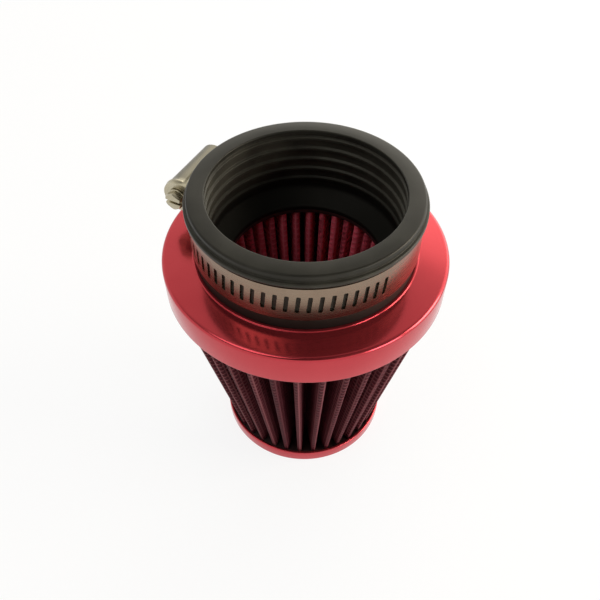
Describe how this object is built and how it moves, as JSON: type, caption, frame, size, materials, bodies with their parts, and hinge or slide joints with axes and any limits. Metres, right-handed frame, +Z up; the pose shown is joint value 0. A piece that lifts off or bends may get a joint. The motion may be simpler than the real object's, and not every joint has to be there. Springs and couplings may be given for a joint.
{
  "type": "conical air filter",
  "caption": "Conical clamp-on air filter: pleated gauze cone between red pressed metal ends, with a ribbed rubber inlet neck and a worm-drive hose clamp.",
  "frame": {"origin": "centre of the end cap's underside, on the filter's axis", "axes": "+Z up the filter's axis from the end cap to the inlet; -Y is the side that faces the viewer, +X to the viewer's right"},
  "size_m": [0.0732, 0.0732, 0.086],
  "materials": {
    "red_anodised": "glossy red anodised sheet",
    "potting": "matte dark polyurethane",
    "wire_screen": "fine woven wire",
    "red_gauze": "oiled cotton gauze",
    "black_rubber": "satin moulded rubber",
    "stainless": "rolled stainless strip",
    "zinc_steel": "zinc plated, faintly yellow"
  },
  "bodies": {
    "filter": {"end_cap": "red_anodised", "lower_seal": "potting", "outer_screen": "wire_screen", "gauze_pleats": "red_gauze", "inner_screen": "wire_screen", "upper_seal": "potting", "collar": "red_anodised", "inlet_neck": "black_rubber", "clamp_band": "stainless", "clamp_housing": "zinc_steel"},
    "screw": {"clamp_screw": "zinc_steel"}
  },
  "joints": [
    {"name": "screw_turn", "type": "hinge", "parent": "filter", "child": "screw", "pos_m": [-0.02918, 0.01423, 0.077], "axis": [-0.4384, -0.8988, 0], "continuous": true}
  ]
}
